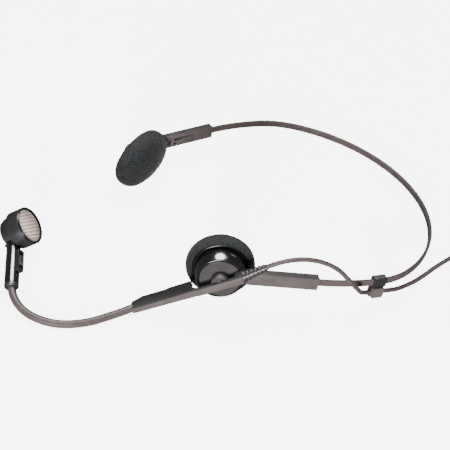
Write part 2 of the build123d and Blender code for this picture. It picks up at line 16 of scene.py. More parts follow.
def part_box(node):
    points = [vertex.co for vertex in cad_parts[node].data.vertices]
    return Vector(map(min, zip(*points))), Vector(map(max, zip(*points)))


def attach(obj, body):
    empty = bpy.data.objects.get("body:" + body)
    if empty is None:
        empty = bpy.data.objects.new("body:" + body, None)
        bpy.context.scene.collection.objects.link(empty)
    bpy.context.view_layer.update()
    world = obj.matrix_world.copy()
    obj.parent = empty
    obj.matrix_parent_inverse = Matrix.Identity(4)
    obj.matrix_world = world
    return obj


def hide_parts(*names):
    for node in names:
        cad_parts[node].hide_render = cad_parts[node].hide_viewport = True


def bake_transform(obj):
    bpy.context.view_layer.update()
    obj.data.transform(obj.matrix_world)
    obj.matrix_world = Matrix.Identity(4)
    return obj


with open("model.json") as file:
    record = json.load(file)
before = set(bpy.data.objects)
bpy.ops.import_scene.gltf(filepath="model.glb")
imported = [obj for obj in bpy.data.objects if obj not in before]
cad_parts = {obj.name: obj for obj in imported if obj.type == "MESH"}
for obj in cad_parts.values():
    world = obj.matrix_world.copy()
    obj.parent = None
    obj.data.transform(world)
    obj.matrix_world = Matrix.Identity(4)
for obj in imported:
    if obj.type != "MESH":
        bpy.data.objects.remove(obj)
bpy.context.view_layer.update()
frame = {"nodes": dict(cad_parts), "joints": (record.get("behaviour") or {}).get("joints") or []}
nodes = frame["nodes"]
joints = {joint["name"]: joint for joint in frame["joints"]}
MM = 0.001

# %% [markdown]
# ## Places
# Every piece is drawn in millimetres in a small frame of its own, such as the cup's or the
# stem's, and then moved to its place. The frames come from the joints: a joint's axis is also
# the axis of the thing that turns on it. That is safer than typing in places a second time.


# %% Frames of the headset's parts
def frame_at(origin, x_way, z_way):
    """Matrix from millimetres in a part's own frame to metres in the headset's."""
    z = Vector(z_way).normalized()
    y = z.cross(Vector(x_way)).normalized()
    turn = Matrix((y.cross(z), y, z)).transposed().to_4x4()
    return Matrix.Translation(origin) @ turn @ Matrix.Scale(MM, 4)


def shift(x=0, y=0, z=0):
    return Matrix.Translation((x, y, z))


def turned(degrees, axis):
    return Matrix.Rotation(math.radians(degrees), 4, axis)


def middle_of(node):
    low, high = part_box(node)
    return (low + high) / 2


HEAD_LIFT = Vector((-1.14, -23.48, 22.52)) * MM
HEAD = Matrix.Translation(HEAD_LIFT) @ turned(-7.01, "X") @ turned(-3.66, "Y") @ Matrix.Scale(MM, 4)
pivot = Vector(joints["boom_pivot"]["pos_m"])
cup_out = -Vector(joints["boom_pivot"]["axis"])
cup_up = Vector(joints["left_pad_tilt"]["axis"])
STEM_OUT, STEM_RAKE = 17.0, 32.3
CUP = frame_at(pivot - STEM_OUT * MM * cup_out, cup_up.cross(cup_out), cup_out)
STEM = CUP @ shift(z=STEM_OUT) @ turned(STEM_RAKE, "Z")
barrel_way = Vector(joints["switch_slide"]["axis"])
grille_way = Vector((0.42, 0.66, 0.62))
head_side = barrel_way.cross(grille_way).normalized()
head_way = head_side.cross(barrel_way)
HEAD_SHELL_MIDDLE = 6.7                   # of the head shell, along the way that the grille faces
neck = middle_of("head_shell") - HEAD_SHELL_MIDDLE * MM * head_way
MIC = frame_at(neck, head_way, barrel_way)
CAPSULE = MIC @ turned(90, "Y")
RIGHT_TOE, RIGHT_TILT, BALL_BACK = 26.7, 7.1, 7.8
toe, tilt = math.radians(RIGHT_TOE), math.radians(RIGHT_TILT)
pad_way = Vector((math.cos(toe) * math.cos(tilt), math.sin(toe) * math.cos(tilt), -math.sin(tilt)))
pad_way = (HEAD.to_3x3() @ pad_way).normalized()
pad_side = HEAD.to_3x3() @ Vector((-math.sin(toe), math.cos(toe), 0))
right_ball = Vector(joints["right_pad_tilt"]["pos_m"])
RIGHT_PAD = frame_at(right_ball + BALL_BACK * MM * pad_way, pad_side, pad_way)
print("the cup's middle is at", [round(v, 4) for v in CUP.translation])

# %% [markdown]
# ## Camera
# A long lens from above the wearer's left shoulder, about 86 cm away. With a long lens the far
# side of the band looks almost as large as the near side. The camera is set up by the point it
# looks at, two angles and a small roll, and it's made first because the lead is laid out to run
# neatly out of its view.

# %% Camera
AIM, DISTANCE = Vector((1.16, 4.93, 5.0)) * MM, 0.8585
AZIMUTH, ELEVATION, ROLL = (math.radians(a) for a in (60.425, 41.203, 10.193))
camera = bpy.data.objects.new("camera", bpy.data.cameras.new("camera"))
bpy.context.scene.collection.objects.link(camera)
back = Vector((math.sin(AZIMUTH), -math.cos(AZIMUTH), 0)) * math.cos(ELEVATION)
back.z = math.sin(ELEVATION)
level = Vector((math.cos(AZIMUTH), math.sin(AZIMUTH), 0))
right = level * math.cos(ROLL) + back.cross(level) * math.sin(ROLL)
view_turn = Matrix((right, back.cross(right), back)).transposed().to_4x4()
camera.matrix_world = Matrix.Translation(AIM + back * DISTANCE) @ view_turn
camera.data.sensor_width, camera.data.lens = 36, 111.245
bpy.context.scene.camera = camera
print("camera at", [round(v, 3) for v in camera.matrix_world.translation])

# %% [markdown]
# ## Finishes
# Nothing on this headset is one flat colour. Each finish is a small node tree: noise in the
# object's own space varies colour and roughness a little, and a finer noise drives a bump. The
# scale is given in millimetres, because a grain that is too coarse makes a thing look like a toy.


# %% A finish with fine variation
def finish(name, dark, light, rough, grain_mm, bump_mm, metal=0.0, coat=0.0, sheen=0.0, detail=4.0,
           cloud_mm=7.0, shine=0.5):
    """Material whose colour runs from dark to light and whose surface has a fine grain."""
    made = bpy.data.materials.new(name)
    made.use_nodes = True
    tree = made.node_tree
    shader = tree.nodes["Principled BSDF"]
    shader.inputs["Metallic"].default_value = metal
    shader.inputs["Specular IOR Level"].default_value = shine
    shader.inputs["Coat Weight"].default_value = coat
    shader.inputs["Coat Roughness"].default_value = 0.08
    shader.inputs["Sheen Weight"].default_value = sheen
    shader.inputs["Sheen Roughness"].default_value = 0.4
    place = tree.nodes.new("ShaderNodeTexCoord")
    cloud = noise_node(tree, place, cloud_mm, 3.0)
    colours = tree.nodes.new("ShaderNodeValToRGB")
    colours.color_ramp.elements[0].position, colours.color_ramp.elements[0].color = 0.3, (*dark, 1)
    colours.color_ramp.elements[1].position, colours.color_ramp.elements[1].color = 0.7, (*light, 1)
    tree.links.new(cloud.outputs["Fac"], colours.inputs["Fac"])
    tree.links.new(colours.outputs["Color"], shader.inputs["Base Color"])
    fine = noise_node(tree, place, grain_mm, detail)
    spread = tree.nodes.new("ShaderNodeMapRange")
    spread.inputs["To Min"].default_value = rough[0]
    spread.inputs["To Max"].default_value = rough[1]
    tree.links.new(fine.outputs["Fac"], spread.inputs["Value"])
    tree.links.new(spread.outputs["Result"], shader.inputs["Roughness"])
    bump = tree.nodes.new("ShaderNodeBump")
    bump.inputs["Strength"].default_value = 1.0
    bump.inputs["Distance"].default_value = bump_mm * MM
    tree.links.new(fine.outputs["Fac"], bump.inputs["Height"])
    tree.links.new(bump.outputs["Normal"], shader.inputs["Normal"])
    return made


def noise_node(tree, place, size_mm, detail):
    """Noise whose lumps are about size_mm across."""
    cloud = tree.nodes.new("ShaderNodeTexNoise")
    cloud.inputs["Scale"].default_value = 1 / (size_mm * MM)
    cloud.inputs["Detail"].default_value = detail
    tree.links.new(place.outputs["Object"], cloud.inputs["Vector"])
    return cloud


satin = finish("satin_plastic", (0.016, 0.016, 0.017), (0.026, 0.026, 0.028), (0.34, 0.46), 0.12, 0.006,
               shine=0.3)
polished = finish("polished_plastic", (0.007, 0.007, 0.008), (0.011, 0.011, 0.012), (0.12, 0.2), 0.5,
                  0.002, shine=0.45)
warm_satin = finish("warm_satin_plastic", (0.088, 0.075, 0.073), (0.118, 0.102, 0.1), (0.4, 0.52),
                    0.12, 0.006, shine=0.12)
dark_plate = finish("dark_plate_plastic", (0.036, 0.032, 0.031), (0.05, 0.045, 0.044), (0.42, 0.52),
                    0.1, 0.004, shine=0.3)
print("plastics:", satin.name, polished.name, warm_satin.name, dark_plate.name)

# %% [markdown]
# The band, the gooseneck and the lead share a warm grey-brown rubbery skin. It isn't black: in
# soft light it is clearly brown beside the plastic. A little sheen gives it the dry bloom of
# soft-touch rubber. Metal parts get a fine grain and a real metallic shader.

# %% Rubber and metal finishes
skin = finish("soft_skin", (0.082, 0.064, 0.062), (0.106, 0.085, 0.082), (0.42, 0.56), 0.14, 0.006,
              sheen=0.03, shine=0.14)
jacket = finish("cord_jacket", (0.08, 0.063, 0.061), (0.104, 0.084, 0.081), (0.4, 0.55), 0.2, 0.008,
                sheen=0.03, shine=0.14)
boot_rubber = finish("boot_rubber", (0.032, 0.029, 0.028), (0.046, 0.042, 0.041), (0.26, 0.36), 0.15,
                     0.006, sheen=0.05, shine=0.5)
bright_steel = finish("bright_steel", (0.5, 0.5, 0.51), (0.62, 0.62, 0.64), (0.2, 0.34), 0.08, 0.004,
                      metal=1.0)
turned_steel = finish("turned_steel", (0.36, 0.36, 0.37), (0.46, 0.46, 0.48), (0.28, 0.42), 0.1,
                      0.005, metal=1.0)
gold = finish("gold_plate", (0.76, 0.54, 0.24), (0.84, 0.63, 0.3), (0.14, 0.24), 0.2, 0.002, metal=1.0)
black_plate = finish("black_plating", (0.02, 0.02, 0.021), (0.032, 0.032, 0.034), (0.2, 0.32), 0.12,
                     0.004, metal=0.8, coat=0.2)
board_green = finish("board_laminate", (0.01, 0.07, 0.03), (0.02, 0.12, 0.05), (0.3, 0.45), 0.3, 0.01)
film = finish("capsule_film", (0.55, 0.56, 0.58), (0.68, 0.69, 0.7), (0.12, 0.2), 0.6, 0.004, metal=0.9)
tie_cloth = finish("tie_cloth", (0.012, 0.012, 0.013), (0.03, 0.03, 0.032), (0.75, 0.9), 0.25, 0.08,
                   sheen=0.4)
print("skins and metals are ready")

# %% [markdown]
# ## The lead
# A lead is one length of something flexible. Its route is a short list of points, the same as
# the CAD's: up out of the strain relief, in a free loop down to the clip under the band, and
# across the table. The last metre or so is wound into a coil out of view, with the plug beside
# it. The points are the control points of one smooth NURBS line, so no bend has a corner.

# %% The lead's route
RELIEF_AT, RELIEF_LIFT, RELIEF_L = 14.0, 7.5, 14.7
RELIEF = STEM @ shift(x=RELIEF_AT) @ turned(RELIEF_LIFT, "Z") @ turned(90, "Y")
CLIP = HEAD @ shift(84.45, 91.0, 1.2)
CLIP_DROP = 7.8
CORD_R = 1.4


def millimetres(points):
    return [Vector(p) * MM for p in points]


loop = millimetres([
    (79.8, 5.0, 47.4), (81.5, 15.2, 47.4), (84.0, 26.0, 44.6), (87.2, 34.8, 39.6),
    (89.4, 40.6, 33.0), (89.9, 46.8, 25.6), (88.1, 52.2, 18.7),
])
across = millimetres([
    (80.6, 84.5, 5.0), (77.4, 93.2, 2.7), (74.6, 101.6, 1.6), (71.2, 110.2, 1.5),
    (67.4, 118.6, 1.5), (63.8, 128.2, 1.5), (61.4, 135.6, 1.5), (55.6, 143.0, 1.5),
    (50.2, 150.2, 1.5), (47.0, 157.8, 1.9),
])
tail = millimetres([
    (81.6, 184.9, 4.8), (90.4, 181.1, 5.1), (93.8, 173.1, 5.2), (93.8, 168.5, 5.2),
])
relief_tip, relief_ahead = (RELIEF @ Vector((0, 0, RELIEF_L + z)) for z in (0, 4.5))
clip_before, clip_after = (CLIP @ Vector((0, y, -CLIP_DROP)) for y in (-9.0, 9.3))
print("the lead leaves the relief at", [round(v, 4) for v in relief_tip])

# %% [markdown]
# The coil is wound as a person winds one: four turns side by side, four more back on top of
# them, and four more on top again. Each turn keeps its radius for most of the way and then
# steps over to the next place. The end comes out over the top in a low hump, down to the plug.

# %% The coil's turns
COIL_AT = Vector((66.0, 165.5))
COIL_RADII, COIL_LAYERS = (19.7, 16.9, 14.1, 11.3), (2.3, 5.1, 7.9)
TURN_POINTS, STEP_POINTS = 16, 3
SPLINE_CUT = 1.01                         # a NURBS line passes this much inside its points


def coil_places():
    """Radius and height of each turn, out and back again in each layer."""
    places = []
    for layer, height in enumerate(COIL_LAYERS):
        radii = COIL_RADII if layer % 2 == 0 else COIL_RADII[::-1]
        places += [(radius, height) for radius in radii]
    return places


def coil_point(degrees, radius, height):
    angle = math.radians(degrees)
    flat = COIL_AT + radius * SPLINE_CUT * Vector((math.cos(angle), math.sin(angle)))
    return Vector((*flat, height)) * MM


def coil_points():
    places, points = coil_places(), []
    for i, (radius, height) in enumerate(places):
        after = places[min(i + 1, len(places) - 1)]
        for k in range(TURN_POINTS):
            share = max(0, k - (TURN_POINTS - STEP_POINTS)) / STEP_POINTS
            r, z = radius + (after[0] - radius) * share, height + (after[1] - height) * share
            points.append(coil_point(180 - 360 * k / TURN_POINTS, r, z))
    hump = [(180, 11.3, 7.9), (158, 12.0, 9.9), (134, 13.7, 11.2), (110, 17.0, 11.3),
            (90, 20.8, 11.0), (71, 23.6, 8.0)]
    return points + [coil_point(*place) for place in hump]


def smooth_line(points, resolution=5):
    """Points along the NURBS curve that these control points pull."""
    curve = bpy.data.curves.new("line", "CURVE")
    curve.dimensions, curve.resolution_u = "3D", resolution
    spline = curve.splines.new("NURBS")
    spline.points.add(len(points) - 1)
    for control, point in zip(spline.points, points):
        control.co = (*point, 1)
    spline.order_u = 3
    spline.use_endpoint_u = True
    holder = bpy.data.objects.new("line", curve)
    mesh = bpy.data.meshes.new_from_object(holder)
    line = [vertex.co.copy() for vertex in mesh.vertices]
    bpy.data.objects.remove(holder)
    return line


cord_points = [relief_tip, relief_ahead, *loop, clip_before, clip_after, *across, *coil_points(), *tail]
cord_line = smooth_line(cord_points)

# %% [markdown]
# ## From lines and outlines to meshes
# Three small tools make most of the pieces. A tube carries a round section along a line without
# twisting it. A lathe spins an outline round an axis. A softened copy takes a CAD piece that
# already has the right form and rounds its knife edges, since a real moulded edge always
# catches a thin line of light.


# %% Mesh tools: objects and tubes
SHARP = math.radians(35)


def add_mesh(name, vertices, faces, place=Matrix.Identity(4)):
    """New piece with smooth shading that keeps its real edges sharp."""
    mesh = bpy.data.meshes.new(name)
    mesh.from_pydata([place @ Vector(v) for v in vertices], [], faces)
    mesh.validate()
    built = bpy.data.objects.new(name, mesh)
    bpy.context.scene.collection.objects.link(built)
    work = bmesh.new()
    work.from_mesh(mesh)
    bmesh.ops.recalc_face_normals(work, faces=work.faces)
    work.to_mesh(mesh)
    work.free()
    mesh.shade_smooth()
    mesh.set_sharp_from_angle(angle=SHARP)
    return built


def dress(piece, body, slot, material, *replaced):
    """Gives a piece its material, the body it rides on and the CAD nodes it stands for."""
    piece.data.materials.clear()
    piece.data.materials.append(material)
    if body:
        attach(piece, body)
    if replaced:
        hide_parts(*replaced)
    return piece


def ring_faces(rings, sides):
    """Faces between rings of vertices, with a flat cap at each end."""
    faces = []
    for i in range(rings - 1):
        for k in range(sides):
            a, b = i * sides + k, i * sides + (k + 1) % sides
            faces.append((a, b, b + sides, a + sides))
    last = (rings - 1) * sides
    return faces + [tuple(reversed(range(sides))), tuple(range(last, last + sides))]


def sweep(name, line, outline):
    """Carries a closed outline, as (side, up) pairs in metres, along a line without twisting."""
    vertices, up = [], None
    for i, point in enumerate(line):
        ahead = (line[min(i + 1, len(line) - 1)] - line[max(i - 1, 0)]).normalized()
        up = (up or ahead.orthogonal()) - ahead * ahead.dot(up or ahead.orthogonal())
        up.normalize()
        side = ahead.cross(up)
        vertices += [point + side * u + up * v for u, v in outline]
    return add_mesh(name, vertices, ring_faces(len(line), len(outline)))


def circle(radius, sides):
    steps = (2 * math.pi * k / sides for k in range(sides))
    return [(radius * math.cos(a), radius * math.sin(a)) for a in steps]


cord = sweep("lead_cord", cord_line, circle(CORD_R * MM, 14))
dress(cord, None, "cable_jacket", jacket, "cable_loop", "cable_lead", "cable_tail", "cable_coil")
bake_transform(cord)
print("the cord has", len(cord.data.vertices), "vertices")


# %% Mesh tools: lathe
def lathe(name, outline, place, around=96):
    """Spins (radius, height) pairs round the z axis of a place. Ends at radius 0 are closed."""
    vertices, rings = [], []
    for radius, height in outline:
        if radius < 1e-6:
            rings.append([len(vertices)])
            vertices.append((0, 0, height))
            continue
        rings.append(list(range(len(vertices), len(vertices) + around)))
        vertices += [(x, y, height) for x, y in circle(radius, around)]
    faces = []
    for low, high in zip(rings, rings[1:]):
        for k in range(around):
            a, b = low[k % len(low)], low[(k + 1) % len(low)]
            c, d = high[(k + 1) % len(high)], high[k % len(high)]
            corners = list(dict.fromkeys((a, b, c, d)))
            if len(corners) > 2:
                faces.append(corners)
    return add_mesh(name, vertices, faces, place)


def arc(centre, radius, start, end, steps=8):
    """Points on an arc, for a lathe outline. Angles are in degrees from +radius to +height."""
    angles = (math.radians(start + (end - start) * k / steps) for k in range(steps + 1))
    return [(centre[0] + radius * math.cos(a), centre[1] + radius * math.sin(a)) for a in angles]


# %% Mesh tools: softened copies
def softened(node, body, slot, material, edge_mm, sharp=35):
    """Copy of a CAD piece with its sharp edges rounded, standing for that piece."""
    mesh = nodes[node].data.copy()
    work = bmesh.new()
    work.from_mesh(mesh)
    bmesh.ops.remove_doubles(work, verts=work.verts, dist=0.002 * MM)
    bmesh.ops.dissolve_limit(work, angle_limit=math.radians(0.6), verts=work.verts, edges=work.edges)
    work.to_mesh(mesh)
    work.free()
    copy = bpy.data.objects.new(f"{node}_soft", mesh)
    bpy.context.scene.collection.objects.link(copy)
    mesh.shade_smooth()
    bevel = copy.modifiers.new("edge", "BEVEL")
    bevel.width, bevel.segments = edge_mm * MM, 3
    bevel.limit_method, bevel.angle_limit = "ANGLE", math.radians(sharp)
    bevel.harden_normals = True
    apply_modifiers(copy)
    return dress(copy, body, slot, material, node)


def apply_modifiers(piece):
    """Bakes a piece's modifiers into its mesh."""
    depsgraph = bpy.context.evaluated_depsgraph_get()
    mesh = bpy.data.meshes.new_from_object(piece.evaluated_get(depsgraph))
    piece.modifiers.clear()
    piece.data = mesh


print("tools: sweep, lathe, softened")

# %% [markdown]
# ## Band
# The band is a flat spring in a soft sleeve. Its line is three tangent arcs a side that meet at
# the nape. A swept outline with generous corner radii gives the sleeve the highlight that a
# sharp-cornered extrusion can't have.

# %% Band sleeve
BAND_Y, BAND_TOE, BAND_UP = 51.7, 15.12, 1.2
BAND_ARCS = ((148.0, 15.26), (54.95, 25.66), (87.83, 90 + BAND_TOE - 15.26 - 25.66))
SLEEVE_T, SLEEVE_H, SLEEVE_TAIL = 1.9, 4.4, 3.0


def band_line(step_degrees=1.0):
    """Middle of the band in the head's frame, from the left arm round to the right arm."""
    half, angle, spot = [], -BAND_TOE, Vector((0, 0))
    for radius, turn in BAND_ARCS:
        centre = spot - radius * Vector((math.cos(math.radians(angle)), math.sin(math.radians(angle))))
        steps = round(turn / step_degrees)
        half += [Vector(p) for p in arc(centre, radius, angle, angle + turn, steps)[1 if half else 0:]]
        angle, spot = angle + turn, half[-1]
    nape = half[-1].x
    left = [Vector((p.x - nape, p.y + BAND_Y, BAND_UP)) for p in half]
    left.insert(0, left[0] + (left[0] - left[1]).normalized() * SLEEVE_TAIL)
    return left + [Vector((-p.x, p.y, p.z)) for p in reversed(left[:-1])]


def rounded_rectangle(width, height, radius, steps=5):
    corners = ((1, 1, 0), (-1, 1, 90), (-1, -1, 180), (1, -1, 270))
    outline = []
    for sx, sy, start in corners:
        centre = (sx * (width / 2 - radius), sy * (height / 2 - radius))
        outline += arc(centre, radius, start, start + 90, steps)
    return outline


def flat_strip(name, line, up, outline):
    """Sweeps an outline along a level bend, keeping its height along up."""
    vertices = []
    for i, point in enumerate(line):
        ahead = (line[min(i + 1, len(line) - 1)] - line[max(i - 1, 0)]).normalized()
        side = ahead.cross(up).normalized()
        vertices += [point + side * u + up * v for u, v in outline]
    return add_mesh(name, vertices, ring_faces(len(line), len(outline)))


head_up = (HEAD.to_3x3() @ Vector((0, 0, 1))).normalized()
sleeve_outline = [(u * MM, v * MM) for u, v in rounded_rectangle(SLEEVE_T, SLEEVE_H, 0.7)]
sleeve = flat_strip("band_soft_sleeve", [HEAD @ p for p in band_line()], head_up, sleeve_outline)
dress(sleeve, "headband", "band_sleeve", skin, "band_sleeve")
print("the band is", [round(v, 3) for v in sleeve.dimensions], "metres over all")

# %% [markdown]
# ## Arms
# The two arms are slim moulded cases, each in two halves with a fine parting line. The form is
# right in the CAD, so softened copies are enough: the bevel makes the parting line readable.

# %% Arms and slide
for node in ("left_arm_outer", "left_arm_inner", "right_arm_inner", "right_arm_outer"):
    softened(node, "headband", "arm_plastic", warm_satin, 0.22)
softened("right_slide", "right_slide", "arm_plastic", satin, 0.15)
print("arms softened")

# %% [markdown]
# ## Cup
# The cup is turned like a small pebble: a flat base, a polished shoulder that curls over into a
# satin disc, and a thin polished ring at the foam. The outlines are short lists of corners and
# arcs, spun on a lathe, so their curves are exact from every side.

# %% Cup
ROUND, FINE_ROUND = 72, 128               # sides of a small and of a large turned piece
shoulder = [(0, 2.4), (14.6, 2.4), *arc((14.6, 2.8), 0.4, -90, 0, 4)]
shoulder += [(14.99, 5.0), (14.9, 7.4), (14.6, 9.2), (14.12, 10.8), (13.6, 11.9)]
shoulder += arc((12.75, 12.1), 0.85, 12, 90, 7) + arc((12.4, 12.75), 0.2, 90, 180, 3)
shoulder += [(12.2, 11.0), (0, 11.0)]
cup_dome = lathe("cup_dome", shoulder, CUP, FINE_ROUND)
dress(cup_dome, "headband", "gloss_plastic", polished, "cup_shell")
face_outline = [(2.55, 11.0), (2.55, 12.85), (2.75, 12.98), (7.0, 13.0), (11.6, 13.0)]
face_outline += arc((11.75, 12.75), 0.25, 90, 0, 4) + [(12.0, 11.2), (11.8, 11.0), (2.55, 11.0)]
cup_disc = lathe("cup_disc", face_outline, CUP, FINE_ROUND)
dress(cup_disc, "headband", "satin_plate", dark_plate, "cup_face")
bezel_outline = [(15.05, 0.9), (15.4, 0.7), *arc((15.45, 1.15), 0.45, -90, 0, 5),
                 *arc((15.45, 2.15), 0.45, 0, 90, 5), (15.2, 2.6), (15.05, 2.4), (15.05, 0.9)]
cup_ring = lathe("cup_ring", bezel_outline, CUP, FINE_ROUND)
dress(cup_ring, "headband", "gloss_plastic", polished, "cup_bezel")
hub_outline = [(2.52, 13.15), (5.0, 13.15), *arc((5.0, 13.35), 0.2, -90, 0, 3),
               *arc((5.0, 17.75), 0.2, 0, 90, 3), (2.52, 17.95), (2.52, 13.15)]
hub = lathe("pivot_collar", hub_outline, CUP, ROUND)
dress(hub, "stem", "gloss_plastic", dark_plate, "pivot_hub")
print("cup pieces:", cup_dome.name, cup_disc.name, cup_ring.name, hub.name)

# %% [markdown]
# The CAD's cup has a lug that reaches into the left arm. The lathe doesn't make it, so a small
# block joins the two. It's built as a cube and bevelled, and nearly all of it is inside the arm.


# %% Cup lug
def bevelled_block(name, corner_a, corner_b, edge, place):
    """Box between two corners with rounded edges."""
    work = bmesh.new()
    bmesh.ops.create_cube(work, size=1)
    low, high = Vector(corner_a), Vector(corner_b)
    size = high - low
    for vertex in work.verts:
        vertex.co = Vector(((low + high) / 2)[i] + vertex.co[i] * size[i] for i in range(3))
    bmesh.ops.bevel(work, geom=work.edges[:] + work.verts[:], offset=edge, segments=3, profile=0.5,
                    affect="EDGES")
    work.transform(place)
    mesh = bpy.data.meshes.new(name)
    work.to_mesh(mesh)
    work.free()
    mesh.shade_smooth()
    built = bpy.data.objects.new(name, mesh)
    bpy.context.scene.collection.objects.link(built)
    return built


arm_sine, arm_cosine = math.sin(math.radians(BAND_TOE)), math.cos(math.radians(BAND_TOE))
arm_root = band_line()[1]
arm_way = HEAD.to_3x3() @ Vector((-arm_sine, -arm_cosine, 0))
LEFT_ARM = frame_at(HEAD @ arm_root, arm_way, head_up)
lug = bevelled_block("cup_lug", (33.0, -1.5, -2.6), (45.2, 1.5, 2.6), 0.3, LEFT_ARM)
dress(lug, "headband", "arm_plastic", satin)
print("lug is", [round(v * 1000, 1) for v in lug.dimensions], "mm")

# %% [markdown]
# ## Foam pads
# Moulded open-cell foam is matt, a little lumpy and full of pores. The pad is a closed lathe
# form with a pinched rim, fine enough to be pushed about vertex by vertex: slow noise gives the
# hand-made unevenness, and fast noise pits the skin. A cloth simulation would add folds, and a
# moulded foam pad has none, so it isn't used here.

# %% Foam finish
foam_skin = finish("foam_skin", (0.005, 0.0058, 0.0065), (0.032, 0.0345, 0.037), (0.88, 0.98), 0.5, 0.16,
                   sheen=0.12, detail=5.0, cloud_mm=0.75, shine=0.2)
speckle = foam_skin.node_tree.nodes["Color Ramp"].color_ramp
speckle.elements[0].position, speckle.elements[1].position = 0.36, 0.7
print("foam finish:", foam_skin.name)


# %% Foam pads
CAVITY_FLOOR = 1.7
FOAM_STEP, FOAM_ROUND = 0.5, 220          # millimetres along the outline, and sides round it


def bent(points, rounds=3):
    """Rounds an outline off by cutting its corners, keeping both ends."""
    for _ in range(rounds):
        cut = [points[0]]
        for (r0, z0), (r1, z1) in zip(points, points[1:]):
            cut += [(r0 * 0.75 + r1 * 0.25, z0 * 0.75 + z1 * 0.25),
                    (r0 * 0.25 + r1 * 0.75, z0 * 0.25 + z1 * 0.75)]
        points = cut + [points[-1]]
    return points


def divided(points, longest):
    """The same outline with no step longer than a given length."""
    fine = [points[0]]
    for (r0, z0), (r1, z1) in zip(points, points[1:]):
        steps = max(1, math.ceil(math.hypot(r1 - r0, z1 - z0) / longest))
        fine += [(r0 + (r1 - r0) * k / steps, z0 + (z1 - z0) * k / steps) for k in range(1, steps + 1)]
    return fine


def foam_pad(name, place, outline, body, node):
    """Foam cushion: a spun outline with slow lumps and small pores."""
    pad = lathe(name, divided(bent(outline), FOAM_STEP), place, FOAM_ROUND)
    outward = [vertex.normal.copy() for vertex in pad.data.vertices]
    for vertex, way in zip(pad.data.vertices, outward):
        spot = vertex.co / MM
        lump = noise.noise(spot * 0.16) * 0.12 + noise.noise(spot * 0.5) * 0.08
        pore = min(0.0, noise.noise(spot * 1.5) + 0.12) * 0.28
        vertex.co += way * (lump + pore - 0.1) * MM
    dress(pad, body, "pad_foam", foam_skin, node)
    return pad


cushion = [(19.9, -2.5), (20.35, 0.2), (19.8, 3.6), (17.2, 6.4), (12.5, 8.2), (6.5, 9.3), (2.0, 9.45),
           (0, 9.4)]
right_outline = [(0, -3.9), (9.0, -3.9), (16.5, -3.95), (18.9, -3.85), *cushion]
left_outline = [(0, CAVITY_FLOOR), (14.5, CAVITY_FLOOR), (16.2, 1.5), (16.4, 0.0),
                (16.5, -2.6), (16.9, -3.9), (18.4, -3.95), *cushion]
right_pad = foam_pad("right_foam", RIGHT_PAD, right_outline, "right_pad", "right_pad_foam")
left_pad = foam_pad("left_foam", CUP @ turned(180, "X"), left_outline, "left_pad", "left_pad_foam")
print("foam pads:", len(right_pad.data.vertices), "and", len(left_pad.data.vertices), "vertices")

# %% [markdown]
# ## Stem
# The stem is a thin upright blade: a black body, a lighter front plate with a raised stretch
# over the cup, and a thin leaf behind. The two tones are painted light and shade on one plastic:
# the lighter front plate stands for the outward face catching the light, and the black body for
# the top in shade. Its rear end carries a ribbed strain relief. Real ribs
# are separate rings with gaps between them, so they're in the outline, not in a bump map.

# %% Stem
# Painted shade and light: the body's dark satin stands for the shaded top, and the front plate's lighter
# warm plastic for the lit outward face.
softened("stem_shell", "stem", "arm_plastic", satin, 0.25)
softened("stem_front_plate", "stem", "satin_plate", warm_satin, 0.2)
softened("stem_back_leaf", "stem", "spring_steel", satin, 0.12)
RELIEF_RINGS, RELIEF_R = 6, 3.4


def relief_outline():
    """Outline of the strain relief: rings that shrink towards the tip, with gaps between them."""
    step, tip_r = RELIEF_L / RELIEF_RINGS, CORD_R + 0.9
    outline = [(0, -0.2), (2.7, -0.2), (2.7, 0.0)]
    for i in range(RELIEF_RINGS):
        r, z = RELIEF_R - i * (RELIEF_R - tip_r) / (RELIEF_RINGS - 1), i * step
        core = 2.75 - i * (2.75 - CORD_R - 0.3) / (RELIEF_RINGS - 1)
        outline += arc((r - 0.3, z + 0.3), 0.3, -90, 0, 4)
        outline += arc((r - 0.38, z + step * 0.62 - 0.3), 0.3, 0, 90, 4)
        outline += [(core, z + step * 0.66), (core, z + step * 0.97)]
    return outline + [(CORD_R + 0.25, RELIEF_L - 0.05), (0, RELIEF_L)]


relief = lathe("relief_rings", relief_outline(), RELIEF, 64)
dress(relief, "stem", "cable_jacket", boot_rubber, "strain_relief")
print("the relief has", RELIEF_RINGS, "rings")

# %% [markdown]
# ## Gooseneck
# A gooseneck is a bendable core in a soft skin. The CAD cuts it into four stiff stretches, with
# joints between them, and leaves small gaps at the joints. The skin here closes those gaps: three
# tubes, each over one joint.

# %% Gooseneck line
BOOM_R = 2.35
boom = millimetres([
    (52.1, -74.5, 3.35), (53.3, -83.3, 2.7), (54.5, -93.0, 2.5), (55.2, -102.8, 2.5),
    (53.5, -114.7, 2.5), (48.4, -125.1, 2.6), (39.4, -133.5, 3.0), (30.3, -136.8, 4.1),
    (19.5, -136.3, 6.2),
])


def arc_through(a, b, c, steps=16):
    """Points on the circle through three points, from a to c."""
    across_ab, across_ac = b - a, c - a
    normal = across_ab.cross(across_ac)
    centre = a + (across_ac.length_squared * normal.cross(across_ab)
                  + across_ab.length_squared * across_ac.cross(normal)) / (2 * normal.length_squared)
    spoke = a - centre
    total = spoke.angle(c - centre)
    axis = normal.normalized()
    return [centre + Matrix.Rotation(total * k / steps, 3, axis) @ spoke for k in range(steps + 1)]


stretches = [arc_through(*boom[2 * i:2 * i + 3]) for i in range(4)]
half = len(stretches[0]) // 2
print("boom stretches:", [round(sum((b - a).length for a, b in zip(s, s[1:])) * 1000) for s in stretches])

